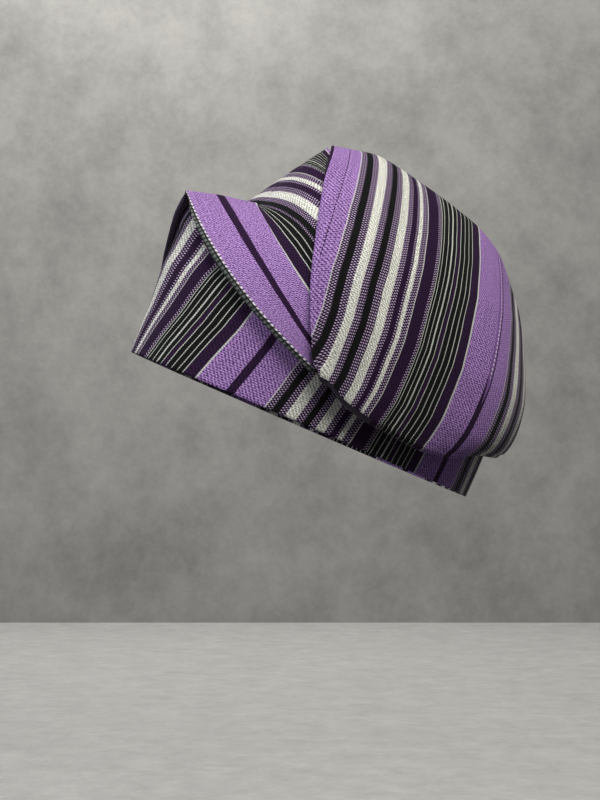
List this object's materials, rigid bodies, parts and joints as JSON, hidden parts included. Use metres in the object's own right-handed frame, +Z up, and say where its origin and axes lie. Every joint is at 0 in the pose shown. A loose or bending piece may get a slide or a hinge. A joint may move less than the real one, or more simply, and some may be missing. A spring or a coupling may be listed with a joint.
{
  "type": "folded striped woven cap (fila)",
  "caption": "Soft brimless cap of striped strip-woven cloth: a tall tube worn with its top folded over to one side, hollow and open below for the head.",
  "frame": {"origin": "centre of the head opening, in the plane of the rim", "axes": "+Z up as worn, with the face towards -Y and the wearer's left towards +X; the rim is tilted, front up and back down, as worn"},
  "size_m": [0.1792, 0.2301, 0.1939],
  "materials": {
    "striped_cloth": "matt strip-woven cotton with a fine rib; light purple, dark purple, black and cream stripes with thin white and checked lines, repeated every 132 mm"
  },
  "bodies": {
    "root": {"band": "striped_cloth", "crown": "striped_cloth", "front_flap": "striped_cloth"}
  },
  "joints": []
}
